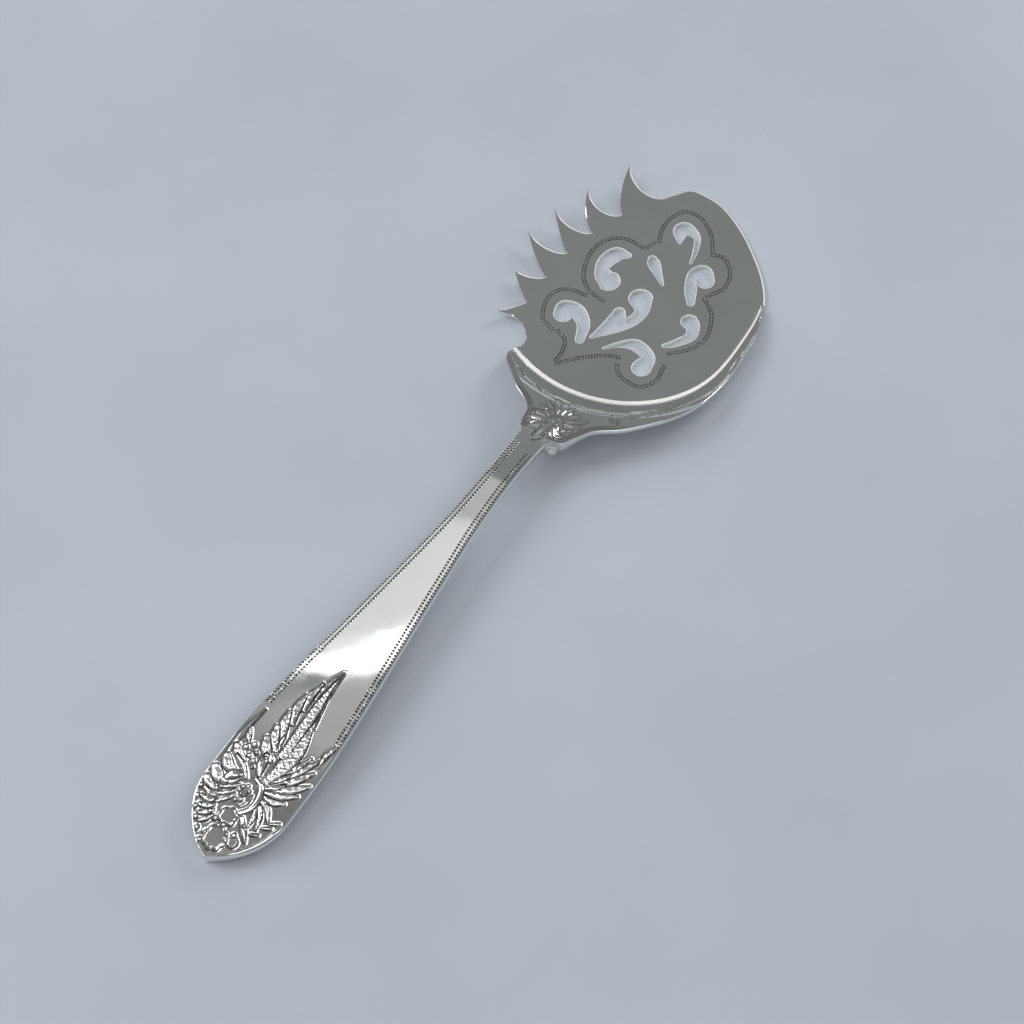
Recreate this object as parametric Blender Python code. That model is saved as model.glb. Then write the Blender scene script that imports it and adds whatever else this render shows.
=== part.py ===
"""Cucumber server: a pierced, toothed silver plate with a raised wall round its
near and right sides, and a forged handle lapped under the wall's shoulder.

Plan sizes are in millimetres. The plan origin is the centre of the plate, +X runs
away from the handle, +Y to the toothed side and +Z up from the table."""
import math

import bmesh
import bpy
import numpy as np
from mathutils.geometry import delaunay_2d_cdt

MM = 0.001

# Crease between plate and wall: a circle eased flatter on its right side. Angles in degrees.
CREASE_RADIUS = 25.4
CREASE_EASE = 1.9
CREASE_EASE_ANGLE = 272.0
CREASE_EASE_SPREAD = 25.0
CREASE_START = 154.0
CREASE_END = 295.0

# Plate. Its outline's points are (angle, distance beyond the crease line).
PLATE_THICKNESS = 0.9
FREE_EDGE = ((295.1, 0.62), (302.0, 0.2), (314.3, -0.4), (334.0, -0.05), (350.0, 1.2), (359.4, 1.5),
             (6.7, 1.28), (11.6, -0.6), (16.7, -2.43))
# Each tooth: its tip, the hollow of its far edge, the root after it, the swell of its near edge.
TEETH = (((33.2, 2.56), 1.9, (38.9, -7.4), 0.7),
         ((52.8, -1.42), 1.8, (61.9, -9.88), 0.8),
         ((72.1, -2.28), 1.4, (87.3, -10.28), 0.2),
         ((90.5, -2.3), 1.2, (111.8, -8.9), 0.4),
         ((113.4, -3.18), 0.62, (130.7, -5.55), 0.2))
LAST_TIP = (135.8, 0.2)
LAST_HOLLOW = 0.05
END_CUT = (LAST_TIP, (138.1, -2.17), (141.5, -3.4), (147.0, -3.7), (152.6, -2.77), (154.2, -1.3))
ROOT_CREST_X = -4.0
ROOT_DEPTH = 10.2
ROOT_BOW = 0.012
TOOTH_LIFT = 2.4
TOOTH_REACH = 8.0
TOOTH_CURL = 1.1

# Piercings: scroll strokes as (x, y, half-width) from one end to the other.
PIERCINGS = (
    ((14.5, -1.7, 0.1), (16.8, -0.5, 1.4), (18.1, -0.9, 1.35), (17.5, -3.7, 0.57), (14.4, -5.2, 0.37),
     (11.7, -5.9, 0.1)),
    ((9.7, -10.4, 1.65), (11.2, -8.9, 1.55), (9.5, -7.6, 0.8), (6.4, -9.2, 1.05), (3.9, -10.8, 0.64)),
    ((0.1, -12.9, 1.55), (-0.5, -14.0, 1.2), (-2.7, -14.8, 0.92), (-5.7, -13.1, 0.65), (-7.1, -11.8, 0.3)),
    ((-13.8, -2.7, 0.1), (-11.6, -4.6, 0.5), (-9.9, -7.4, 1.2), (-10.9, -10.7, 1.2), (-13.6, -11.0, 1.75)),
    ((-11.4, 7.8, 1.7), (-9.9, 8.2, 1.55), (-9.5, 5.9, 1.5), (-11.3, 3.3, 1.12), (-14.6, 2.0, 0.75)),
    ((6.7, 5.0, 0.6), (5.8, 6.9, 1.5), (3.0, 7.7, 1.42), (0.1, 6.9, 1.0), (-0.3, 4.9, 2.2)),
    ((8.5, 0.6, 0.78), (7.6, -0.4, 1.08), (4.5, -4.2, 0.12)),
    ((-0.5, -2.5, 2.2), (-2.9, -4.2, 1.17), (-5.9, -3.8, 1.0), (-9.3, -2.2, 0.5), (-13.0, 0.5, 0.1)),
    ((-5.3, -0.8, 1.05), (-7.6, -1.3, 1.6), (-13.0, 0.6, 0.1)),
)

# Wall and shoulder: height above the plate follows a quarter sine over its run from the crease.
WALL_RISE = 6.2
WALL_RUN = 11.0
RIM_THICKENING = 0.3
RIM_RUN = 14.0
# Outer edge as (crease angle facing the point, own angle, distance beyond the crease line).
LEFT_FLANK = ((155.0, 156.4, 2.1), (158.5, 159.8, 3.58), (163.5, 165.8, 5.14), (169.5, 172.3, 7.3),
              (175.0, 177.3, 8.74))
RIGHT_FLANK = ((202.0, 201.8, 10.9), (208.0, 209.8, 9.77), (216.0, 218.0, 8.38), (226.0, 227.0, 7.22),
               (236.0, 236.6, 5.75), (247.0, 247.6, 4.0), (259.0, 260.1, 2.91), (270.0, 270.2, 2.59),
               (281.0, 280.6, 1.82), (288.0, 287.7, 1.2), (294.2, 294.0, 0.72))

# Neck: the shoulder's end, where the stem butts against it and its tongue runs on below.
NECK_REACH = 14.3
NECK_HALF_WIDTH = 3.4
NECK_ANGLES = (185.0, 193.0)
# The bends into the neck as (crease angle, ahead of the neck's end, out from its side).
NECK_LEFT_BEND = ((179.5, 3.8, 1.0), (182.5, 1.5, 0.5))
NECK_RIGHT_BEND = ((195.5, 0.6, 1.8), (198.0, 2.7, 3.1))
NECK_THICKENING = 1.3
NECK_THICKENING_RUN = 5.0
STEM_AXIS_Y = -4.8

# Handle, from its tip to the stem.
HANDLE_LENGTH = 97.4
HANDLE_TURN = -0.75
END_LENGTH = 12.0
END_POINT = 0.75
GRIP_HALF_WIDTH = 8.85
WAIST_HALF_WIDTH = 2.7
STEM_HALF_WIDTH = 2.75
# Half-widths against the share of the way from the rounded end to the stem.
GRIP_WIDTHS = ((0, GRIP_HALF_WIDTH), (0.117, 8.75), (0.27, 7.7), (0.445, 5.95), (0.585, 4.6), (0.76, 3.1),
               (0.867, WAIST_HALF_WIDTH), (1, STEM_HALF_WIDTH))
# Share of the climb from the tip to the shoulder, against the share of the length.
GRIP_CLIMB = ((0, 0), (0.103, 0.4), (0.205, 0.6), (0.36, 0.77), (0.513, 0.875), (0.667, 0.98), (0.8, 1.1),
              (0.883, 1.146), (0.945, 1.1), (1, 1))
TIP_THICKNESS = 2.3
STEM_THICKNESS = 3.8
GRIP_THICKNESS = ((0, TIP_THICKNESS), (0.123, 2.3), (0.513, 2.5), (0.821, 3.2), (1, STEM_THICKNESS))
EDGE_BEVEL = 1.1
TONGUE_LENGTH = 9.0
# The tongue's reach to each side of the stem's axis, against the share of its length.
TONGUE_LEFT = ((0, 2.4), (1, 1.4))
TONGUE_RIGHT = ((0, 3.3), (0.08, 4.6), (0.3, 4.0), (1, 1.4))

# Solder
SEAT_GAP = 0.25
SEAM_WIDTH = 0.6
SEAM_FOOT = 0.12
SEAM_CROWN = 0.2
NECK_SEAM_CROWN = 0.15

SEAM_HALF_SLOT = SEAM_WIDTH / 2 + SEAT_GAP
SHOULDER_HEIGHT = PLATE_THICKNESS + WALL_RISE
NECK_X = -CREASE_RADIUS - NECK_REACH
STEM_BUTT_X = NECK_X - 2 * SEAM_HALF_SLOT


def smooth_curve(knots, pieces):
    """Points on a Catmull-Rom curve through the knots, so many pieces to a span."""
    pts = np.array(knots, dtype=float)
    ends = np.vstack((2 * pts[0] - pts[1], pts, 2 * pts[-1] - pts[-2]))
    out = []
    for i in range(len(pts) - 1):
        a, b, c, d = ends[i:i + 4]
        for k in range(pieces):
            t = k / pieces
            out.append(0.5 * (2 * b + (c - a) * t + (2 * a - 5 * b + 4 * c - d) * t * t
                              + (3 * b - a - 3 * c + d) * t ** 3))
    out.append(pts[-1])
    return np.array(out)


def smooth_value(knots, at):
    """Value at one place on a smooth graph through (place, value) knots."""
    places, values = np.array(knots, dtype=float).T
    slopes = np.gradient(values, places)
    i = int(np.clip(np.searchsorted(places, at) - 1, 0, len(places) - 2))
    span = places[i + 1] - places[i]
    t = (min(max(at, places[0]), places[-1]) - places[i]) / span
    return ((2 * t ** 3 - 3 * t ** 2 + 1) * values[i] + (t ** 3 - 2 * t ** 2 + t) * span * slopes[i]
            + (3 * t ** 2 - 2 * t ** 3) * values[i + 1] + (t ** 3 - t ** 2) * span * slopes[i + 1])


def arc(start, end, bulge, pieces):
    """Points after the start, up to the end, on an arc that bulges to the left."""
    p = np.array(start)
    q = np.array(end)
    half = np.linalg.norm(q - p) / 2
    along = (q - p) / (2 * half)
    left = np.array((-along[1], along[0]))
    turn = 2 * math.atan2(bulge, half)
    radius = half / math.sin(turn)
    centre = (p + q) / 2 + left * (bulge - radius)
    return [centre + radius * (left * math.cos(a) + along * math.sin(a))
            for a in np.linspace(-turn, turn, pieces + 1)[1:]]


def crease_radius(degrees):
    off = (degrees - CREASE_EASE_ANGLE) / CREASE_EASE_SPREAD
    return CREASE_RADIUS - CREASE_EASE * math.exp(-off * off)


def polar(radius, degrees):
    return np.array((radius * math.cos(math.radians(degrees)), radius * math.sin(math.radians(degrees))))


def rim_point(degrees, beyond):
    return polar(crease_radius(degrees) + beyond, degrees)


def beyond_crease(x, y):
    return math.hypot(x, y) - crease_radius(math.degrees(math.atan2(y, x)) % 360)


def wall_top(x, y):
    run = min(max(beyond_crease(x, y) / WALL_RUN, 0), 1)
    return PLATE_THICKNESS + WALL_RISE * math.sin(math.pi / 2 * run)


def wall_underside(x, y):
    run = beyond_crease(x, y)
    thick = PLATE_THICKNESS + RIM_THICKENING * min(max(run / RIM_RUN, 0), 1)
    t = min(max((run - WALL_RUN) / NECK_THICKENING_RUN, 0), 1)
    return wall_top(x, y) - thick - NECK_THICKENING * t * t * (3 - 2 * t)


def tooth_lift(x, y):
    root_y = CREASE_RADIUS - ROOT_DEPTH - ROOT_BOW * (x - ROOT_CREST_X) ** 2
    return TOOTH_LIFT * (max(0.0, y - root_y) / TOOTH_REACH) ** TOOTH_CURL


def plate_outline():
    """Anticlockwise: free far edge, teeth, end cut, then the crease side."""
    pts = list(smooth_curve([rim_point(*p) for p in FREE_EDGE], 4))
    for tip, hollow, root, swell in TEETH:
        pts += arc(pts[-1], rim_point(*tip), hollow, 6)
        pts += arc(pts[-1], rim_point(*root), -swell, 4)
    pts += arc(pts[-1], rim_point(*LAST_TIP), LAST_HOLLOW, 3)
    pts += list(smooth_curve([rim_point(*p) for p in END_CUT], 3))[1:]
    for degrees in np.linspace(CREASE_START, CREASE_END, 60):
        pts.append(rim_point(degrees, -SEAM_HALF_SLOT))
    return np.array(pts)


def stroke_outline(knots):
    """Closed outline of a stroke of changing half-width with rounded ends."""
    line = smooth_curve(knots, 5)
    way = np.gradient(line[:, :2], axis=0)
    way /= np.linalg.norm(way, axis=1)[:, None]
    side = np.column_stack((-way[:, 1], way[:, 0]))
    half = np.maximum(line[:, 2:], 0.1)
    left = line[:, :2] + side * half
    right = line[:, :2] - side * half
    first = [line[0, :2] + half[0] * (side[0] * math.cos(a) - way[0] * math.sin(a))
             for a in np.linspace(math.pi, 0, 7)[1:-1]]
    last = [line[-1, :2] + half[-1] * (side[-1] * math.cos(a) + way[-1] * math.sin(a))
            for a in np.linspace(0, math.pi, 7)[1:-1]]
    return np.vstack((left, last, right[::-1], first))


def in_stroke(knots, outline, point):
    """Whether the point lies within the stroke, also where its inner bend folds over."""
    line = smooth_curve(knots, 10)
    return winding(outline, point) != 0 or np.any(np.linalg.norm(line[:, :2] - point, axis=1) < line[:, 2])


def winding(loop, point):
    """Turns of the loop round the point; zero when the point is outside."""
    off = loop - point
    angles = np.arctan2(off[:, 1], off[:, 0])
    steps = np.diff(np.append(angles, angles[0]))
    return round(float(np.sum((steps + math.pi) % (2 * math.pi) - math.pi)) / (2 * math.pi))


def largest_piece(faces):
    """The biggest set of triangles that join edge to edge."""
    sharing = {}
    for k, face in enumerate(faces):
        for i in range(3):
            sharing.setdefault(frozenset((face[i], face[i - 1])), []).append(k)
    waiting = set(range(len(faces)))
    best = []
    while waiting:
        piece = [waiting.pop()]
        for k in piece:
            for i in range(3):
                for other in sharing[frozenset((faces[k][i], faces[k][i - 1]))]:
                    if other in waiting:
                        waiting.remove(other)
                        piece.append(other)
        if len(piece) > len(best):
            best = piece
    return [faces[k] for k in sorted(best)]


def plate_faces():
    """Triangles of the pierced plan, with inner points where the teeth bend."""
    outline = plate_outline()
    holes = [stroke_outline(knots) for knots in PIERCINGS]

    def on_metal(p):
        return winding(outline, p) and not any(in_stroke(k, hole, p) for k, hole in zip(PIERCINGS, holes))

    points = []
    edges = []
    for loop in [outline] + holes:
        start = len(points)
        count = len(loop)
        points += list(loop)
        edges += [(start + i, start + (i + 1) % count) for i in range(count)]
    edge_points = np.array(points)
    pitch = 2.2
    for row in range(-14, 15):
        for column in range(-14, 15):
            p = np.array((pitch * (column + 0.5 * (row % 2)), pitch * 0.87 * row))
            clear = np.min(np.linalg.norm(edge_points - p, axis=1)) > 0.9
            if clear and on_metal(p):
                points.append(p)
    verts, _, faces, _, _, _ = delaunay_2d_cdt([tuple(p) for p in points], edges, [], 0, 1e-5)
    metal = [face for face in faces if on_metal(np.mean([verts[i] for i in face], axis=0))]
    return verts, largest_piece(metal)


def finish(name, bm, parent, colour, roughness):
    """One named object with its own metal."""
    bmesh.ops.remove_doubles(bm, verts=bm.verts, dist=1e-7)
    bmesh.ops.recalc_face_normals(bm, faces=bm.faces)
    mesh = bpy.data.meshes.new(name)
    bm.to_mesh(mesh)
    bm.free()
    mesh.shade_smooth()
    mesh.set_sharp_from_angle(angle=math.radians(40))
    material = bpy.data.materials.new(name + "_silver")
    material.use_nodes = True
    shader = material.node_tree.nodes["Principled BSDF"]
    shader.inputs["Base Color"].default_value = (*colour, 1.0)
    shader.inputs["Metallic"].default_value = 1.0
    shader.inputs["Roughness"].default_value = roughness
    mesh.materials.append(material)
    piece = bpy.data.objects.new(name, mesh)
    piece.parent = parent
    bpy.context.collection.objects.link(piece)
    return piece


def loft(rings):
    """Closed body through rings of equal point counts, capped at both ends."""
    bm = bmesh.new()
    rows = [[bm.verts.new(np.array(p) * MM) for p in ring] for ring in rings]
    count = len(rows[0])
    for a, b in zip(rows, rows[1:]):
        for i in range(count):
            j = (i + 1) % count
            bm.faces.new((a[i], a[j], b[j], b[i]))
    bm.faces.new(rows[0][::-1])
    bm.faces.new(rows[-1])
    return bm


def make_plate(parent):
    verts, faces = plate_faces()
    bm = bmesh.new()
    made = [bm.verts.new((v[0] * MM, v[1] * MM, tooth_lift(v[0], v[1]) * MM)) for v in verts]
    for face in faces:
        bm.faces.new([made[i] for i in face])
    bmesh.ops.delete(bm, geom=[v for v in bm.verts if not v.link_faces], context="VERTS")
    raised = bmesh.ops.extrude_face_region(bm, geom=bm.faces[:])["geom"]
    top = [item for item in raised if isinstance(item, bmesh.types.BMVert)]
    bmesh.ops.translate(bm, verts=top, vec=(0, 0, PLATE_THICKNESS * MM))
    finish("blade", bm, parent, (0.86, 0.87, 0.85), 0.14)


def wall_rails():
    """Stations of (crease angle, outer x, outer y) from the left tip to the right tip."""
    neck_left = STEM_AXIS_Y + NECK_HALF_WIDTH
    neck_right = STEM_AXIS_Y - NECK_HALF_WIDTH
    left = [(facing, *rim_point(degrees, beyond)) for facing, degrees, beyond in LEFT_FLANK]
    left += [(facing, NECK_X + ahead, neck_left + out) for facing, ahead, out in NECK_LEFT_BEND]
    left.append((NECK_ANGLES[0], NECK_X, neck_left))
    right = [(NECK_ANGLES[1], NECK_X, neck_right)]
    right += [(facing, NECK_X + ahead, neck_right - out) for facing, ahead, out in NECK_RIGHT_BEND]
    right += [(facing, *rim_point(degrees, beyond)) for facing, degrees, beyond in RIGHT_FLANK]
    neck = np.linspace(left[-1], right[0], 7)[1:-1]
    return np.vstack((smooth_curve(left, 4), neck, smooth_curve(right, 4)))


def make_wall(parent):
    rings = []
    for degrees, x, y in wall_rails():
        foot = rim_point(degrees, SEAM_HALF_SLOT)
        across = [foot + (np.array((x, y)) - foot) * t for t in np.linspace(0, 1, 8)]
        top = [(p[0], p[1], wall_top(*p)) for p in across]
        under = [(p[0], p[1], wall_underside(*p)) for p in across]
        rings.append(top + under[::-1])
    finish("raised_wall", loft(rings), parent, (0.86, 0.87, 0.85), 0.16)


def half_width(s):
    if s < END_LENGTH:
        return GRIP_HALF_WIDTH * (1 - (1 - s / END_LENGTH) ** 2) ** END_POINT
    return smooth_value(GRIP_WIDTHS, (s - END_LENGTH) / (HANDLE_LENGTH - END_LENGTH))


def grip_height(s):
    return TIP_THICKNESS + (SHOULDER_HEIGHT - TIP_THICKNESS) * smooth_value(GRIP_CLIMB, s / HANDLE_LENGTH)


def grip_ring(s):
    """Section of the handle: flat face with bevelled edges over a rounded back."""
    w = half_width(s)
    top = grip_height(s)
    thick = smooth_value(GRIP_THICKNESS, s / HANDLE_LENGTH)
    bevel = min(EDGE_BEVEL, 0.3 * w)
    turn = math.radians(HANDLE_TURN)
    back = HANDLE_LENGTH - s
    x = STEM_BUTT_X - back * math.cos(turn)
    y = STEM_AXIS_Y - back * math.sin(turn)
    right = [(w - bevel, 0.0), (w, 0.5 * bevel), (0.98 * w, 0.52 * thick), (0.86 * w, 0.78 * thick),
             (0.6 * w, 0.94 * thick), (0.2 * w, thick)]
    side = right + [(-u, v) for u, v in right[::-1]]
    return [(x - u * math.sin(turn), y + u * math.cos(turn), top - v) for u, v in side]


def tongue_ring(t, x):
    """Section of the tongue: its face follows the shoulder's underside, its heel shows on the right."""
    left = np.interp(t, *zip(*TONGUE_LEFT))
    right = np.interp(t, *zip(*TONGUE_RIGHT))
    foot = SHOULDER_HEIGHT - STEM_THICKNESS

    def across(share):
        return STEM_AXIS_Y + share * (left if share > 0 else right)

    def seat(share):
        return x, across(share), wall_underside(x, across(share)) - SEAT_GAP

    def back(share):
        return x, across(share), foot + 0.5 * share ** 4

    ring = [seat(0.4), seat(1)] + [back(share) for share in (1, 0.86, 0.5, 0.2, -0.2, -0.5, -0.86, -1)]
    return ring + [seat(-1), seat(-0.4)]


def make_handle(parent):
    ends = END_LENGTH * (1 - np.cos(np.linspace(0.12, math.pi / 2, 14)))
    places = np.concatenate((ends, np.linspace(END_LENGTH, HANDLE_LENGTH, 38)[1:]))
    rings = [grip_ring(s) for s in places]
    start = STEM_BUTT_X + 0.05
    shares = (0, 0.04, 0.08, 0.18, 0.3, 0.48, 0.66, 0.84, 1)
    rings += [tongue_ring(t, start + TONGUE_LENGTH * t) for t in shares]
    finish("handle", loft(rings), parent, (0.88, 0.89, 0.87), 0.12)


def make_crease_seam(parent):
    rings = []
    half = SEAM_WIDTH / 2
    shoulder = PLATE_THICKNESS - 0.05
    for degrees in np.linspace(CREASE_START + 1, CREASE_END - 1.5, 70):
        ring = [(-half, SEAM_FOOT), (half, SEAM_FOOT)]
        for a in np.linspace(0, math.pi, 7):
            ring.append((half * math.cos(a), shoulder + (SEAM_CROWN + 0.05) * math.sin(a)))
        rings.append([(*rim_point(degrees, u), z) for u, z in ring])
    finish("crease_solder_seam", loft(rings), parent, (0.80, 0.80, 0.77), 0.22)


def make_neck_seam(parent):
    rings = []
    middle = NECK_X - SEAT_GAP - SEAM_WIDTH / 2
    half = SEAM_WIDTH / 2
    reach = STEM_HALF_WIDTH - SEAT_GAP
    foot = SHOULDER_HEIGHT - PLATE_THICKNESS - RIM_THICKENING
    for y in np.linspace(-reach, reach, 9):
        ring = [(-half, foot), (half, foot)]
        for a in np.linspace(0, math.pi, 7):
            ring.append((half * math.cos(a), SHOULDER_HEIGHT - NECK_SEAM_CROWN * (1 - math.sin(a))))
        rings.append([(middle + u, STEM_AXIS_Y + y, z) for u, z in ring])
    finish("neck_solder_seam", loft(rings), parent, (0.80, 0.80, 0.77), 0.22)


def build():
    for old in list(bpy.data.objects):
        bpy.data.objects.remove(old, do_unlink=True)
    frame = bpy.data.objects.new("cucumber_server", None)
    bpy.context.collection.objects.link(frame)
    make_plate(frame)
    make_wall(frame)
    make_handle(frame)
    make_crease_seam(frame)
    make_neck_seam(frame)
    corners = np.array([v.co for piece in frame.children for v in piece.data.vertices])
    low = corners.min(axis=0)
    high = corners.max(axis=0)
    frame.location = (-(low[0] + high[0]) / 2, -(low[1] + high[1]) / 2, -low[2])


build()
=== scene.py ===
"""Cucumber server in polished silver: pierced toothed plate with punched cartouche,
raised wall with a chased shoulder, and a bordered handle with foliage at its end.

Sizes are in millimetres on the plan of the CAD: the origin is the centre of the plate,
+X runs away from the handle and +Y to the toothed side. On the handle, a place is given as
(distance from the tip, distance to the toothed side of the axis)."""
import math

import bmesh
import bpy
import numpy as np
from mathutils import Matrix, Vector
from mathutils.geometry import delaunay_2d_cdt
from mathutils.kdtree import KDTree


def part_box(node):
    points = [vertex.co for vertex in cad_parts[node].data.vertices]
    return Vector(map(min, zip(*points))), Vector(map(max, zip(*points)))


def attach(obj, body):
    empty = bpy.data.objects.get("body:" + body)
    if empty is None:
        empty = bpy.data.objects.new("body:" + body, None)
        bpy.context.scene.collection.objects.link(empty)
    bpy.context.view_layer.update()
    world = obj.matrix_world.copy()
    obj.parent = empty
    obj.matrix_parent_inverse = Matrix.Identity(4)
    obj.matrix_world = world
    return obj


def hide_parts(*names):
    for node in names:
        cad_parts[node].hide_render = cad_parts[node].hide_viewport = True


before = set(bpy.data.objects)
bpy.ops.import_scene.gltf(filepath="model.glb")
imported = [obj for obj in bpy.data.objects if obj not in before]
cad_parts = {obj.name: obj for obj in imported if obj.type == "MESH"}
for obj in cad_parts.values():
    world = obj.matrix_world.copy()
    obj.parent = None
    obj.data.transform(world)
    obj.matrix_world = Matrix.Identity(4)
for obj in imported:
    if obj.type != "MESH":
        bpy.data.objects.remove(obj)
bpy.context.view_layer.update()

MM = 0.001

# Plan of the CAD: the seam that joins stem and shoulder places the rest.
NECK_SEAM_MIDDLE = (-40.25, -4.8)
seam_low, seam_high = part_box("neck_solder_seam")
PLAN_SHIFT = np.array((seam_low + seam_high)[:2]) / 2 / MM - np.array(NECK_SEAM_MIDDLE)
NECK_X = -39.7
NECK_HALF_WIDTHS = (2.6, 3.3)
NECK_FEET = (3.6, 4.7)
STEM_BUTT_X = -40.8
HANDLE_TURN = math.radians(-0.75)
PLATE_THICKNESS = 0.9
CREASE_RADIUS = 25.4
CREASE_EASE = 1.9
CREASE_EASE_ANGLE = 272.0
CREASE_EASE_SPREAD = 25.0
CREASE_ENDS = (154.6, 294.2)
SEAM_HALF_SLOT = 0.55
SEAM_FOOT = 0.12
WALL_RISE = 6.2
WALL_RUN = 11.0
RIM_THICKENING = 0.3
RIM_RUN = 14.0
NECK_THICKENING = 1.3
NECK_THICKENING_RUN = 5.0
ROOT_CREST = (-4.0, 15.2)
ROOT_BOW = 0.012
TOOTH_LIFT = 2.4
TOOTH_REACH = 8.0
TOOTH_CURL = 1.1
SHOULDER_HEIGHT = PLATE_THICKNESS + WALL_RISE

# Sheet metal, with rounds given for the outer edge and the piercings
WELD = 0.001
RIM_STEP = 0.3
PLATE_PITCH = 1.1
WALL_PITCH = 0.15
UNDERSIDE_PITCH = 0.5
RIM_CLEARANCE_SHARE = 0.45
MARK_CLEARANCE = 0.45
CORNER_TURN = math.radians(45)
PLATE_ROUNDS = (0.26, 0.13)
WALL_ROUNDS = (0.16, 0.16)
ROUND_TURNS = (0, 30, 60, 90)
UNDERSIDE_ROUND = 0.5
JOINT_ROUND = 0.02
JOINT_REACH = 0.1
JOINT_REACH_DEGREES = 1
RIM_LAND = 1.35
WEAR_ALL_ROUND = 0.2
WALL_RIM_MATTE = 0.45
SHARP_ANGLE = math.radians(25)

# Punched cartouche on the plate: lobes round the piercings, each a run of points.
CARTOUCHE = (
    ((12.6, 1.8), (16.3, 3.0), (19.4, 2.7), (21.5, 1.3), (21.9, -1.6), (20.3, -4.7), (15.9, -8.3)),
    ((15.5, -8.1), (16.2, -10.1), (13.9, -13.3), (10.3, -14.2), (6.7, -12.5)),
    ((6.1, -12.4), (4.2, -15.1), (1.9, -16.5), (-1.3, -17.4), (-5.0, -16.3), (-8.2, -13.4)),
    ((-10.9, -14.3), (-14.7, -14.7), (-17.2, -13.2), (-17.6, -10.2), (-16.8, -7.9), (-15.4, -6.8)),
    ((-13.9, -6.4), (-14.6, -4.6), (-17.3, -1.0), (-21.4, 2.8)),
    ((-21.0, 3.2), (-18.5, 3.3), (-16.0, 4.4), (-15.1, 6.6)),
    ((-15.5, 7.3), (-14.2, 10.4), (-12.5, 11.5), (-9.9, 12.2), (-7.7, 11.8), (-6.3, 10.5), (-5.4, 6.6)),
    ((-4.7, 3.0), (-4.2, 6.5), (-2.5, 8.9), (2.0, 11.0), (6.7, 10.8), (9.3, 8.5), (10.0, 5.7), (9.8, 3.5)),
    ((9.9, 3.2), (10.6, 2.9), (11.6, 2.5), (12.4, 2.0)),
)
TICK_PITCH = 0.52
TICK_ROW = 0.25
TICK_MOUTH = 0.165
TICK_FLOOR = 0.12
TICK_DEPTH = 0.1
TICK_SPACING = 0.37
TICK_RIM_CLEARANCE = 0.5
CORNERS = ((1, 1), (-1, 1), (-1, -1), (1, -1))


def hermite(start, stop, start_slope, stop_slope, t):
    """Cubic between two values with the given end slopes, each a change over the whole span."""
    return ((2 * t ** 3 - 3 * t ** 2 + 1) * start + (t ** 3 - 2 * t ** 2 + t) * start_slope
            + (3 * t ** 2 - 2 * t ** 3) * stop + (t ** 3 - t ** 2) * stop_slope)


def smooth_graph(places, values, at):
    """Values at many places on a smooth graph through the given ones."""
    slopes = np.gradient(values, places)
    at = np.clip(at, places[0], places[-1])
    i = np.clip(np.searchsorted(places, at) - 1, 0, len(places) - 2)
    span = places[i + 1] - places[i]
    return hermite(values[i], values[i + 1], slopes[i] * span, slopes[i + 1] * span, (at - places[i]) / span)


def smooth_path(points, step):
    """Evenly spaced points and directions on a smooth open curve through the given ones."""
    pts = np.array(points, dtype=float)
    along = np.append(0, np.cumsum(np.linalg.norm(np.diff(pts, axis=0), axis=1)))
    dense = np.linspace(0, along[-1], 40 * len(pts))
    line = np.column_stack([smooth_graph(along, pts[:, k], dense) for k in (0, 1)])
    length = np.append(0, np.cumsum(np.linalg.norm(np.diff(line, axis=0), axis=1)))
    even = np.linspace(0, length[-1], max(int(round(length[-1] / step)), 1) + 1)
    out = np.column_stack([np.interp(even, length, line[:, k]) for k in (0, 1)])
    way = np.gradient(out, axis=0)
    return out, way / np.linalg.norm(way, axis=1)[:, None]


def rim_loops(node):
    """Closed rims of the CAD node's upper face on the plan, with the metal on their left."""
    bm = bmesh.new()
    bm.from_mesh(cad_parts[node].data)
    bmesh.ops.remove_doubles(bm, verts=bm.verts, dist=WELD * MM)
    following = {}
    for edge in bm.edges:
        upper = [loop for loop in edge.link_loops if loop.face.normal.z > 0.5]
        if len(upper) == 1:
            following[upper[0].vert] = upper[0].link_loop_next.vert
    loops = []
    while following:
        start, at = following.popitem()
        loop = [start]
        while at != start:
            loop.append(at)
            at = following.pop(at)
        loops.append(np.array([(v.co.x, v.co.y) for v in loop]) / MM - PLAN_SHIFT)
    bm.free()
    return loops


def corner_turns(loop):
    """Signed turn at each point of a closed loop, in radians, left positive."""
    back = loop - np.roll(loop, 1, axis=0)
    on = np.roll(loop, -1, axis=0) - loop
    cross = back[:, 0] * on[:, 1] - back[:, 1] * on[:, 0]
    return np.arctan2(cross, np.sum(back * on, axis=1))


def refine(loop, step):
    """The loop with smooth stretches between its corners, points at most a step apart."""
    corner = np.abs(corner_turns(loop)) > CORNER_TURN
    ahead = np.roll(loop, -1, axis=0) - loop
    span = np.linalg.norm(ahead, axis=1)[:, None]
    unit = ahead / span
    behind = np.roll(unit, 1, axis=0)
    back_span = np.roll(span, 1, axis=0)
    tangent = (unit * back_span + behind * span) / (span + back_span)
    out = []
    for i in range(len(loop)):
        j = (i + 1) % len(loop)
        first = unit[i] if corner[i] else tangent[i]
        last = unit[i] if corner[j] else tangent[j]
        pieces = max(1, math.ceil(span[i, 0] / step))
        for t in np.arange(pieces) / pieces:
            out.append(hermite(loop[i], loop[j], first * span[i], last * span[i], t))
    return np.array(out)


def fine_rims(node):
    """Rims of the CAD node's upper face, fine enough for rounded edges."""
    return [refine(loop, RIM_STEP) for loop in rim_loops(node)]


def inward(loop):
    """Direction into the metal at each point, lengthened a little at corners."""
    on = np.roll(loop, -1, axis=0) - loop
    on /= np.linalg.norm(on, axis=1)[:, None]
    left = np.column_stack((-on[:, 1], on[:, 0]))
    both = left + np.roll(left, 1, axis=0)
    return both / np.maximum(np.sum(both * both, axis=1) / 2, 0.9)[:, None]


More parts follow.
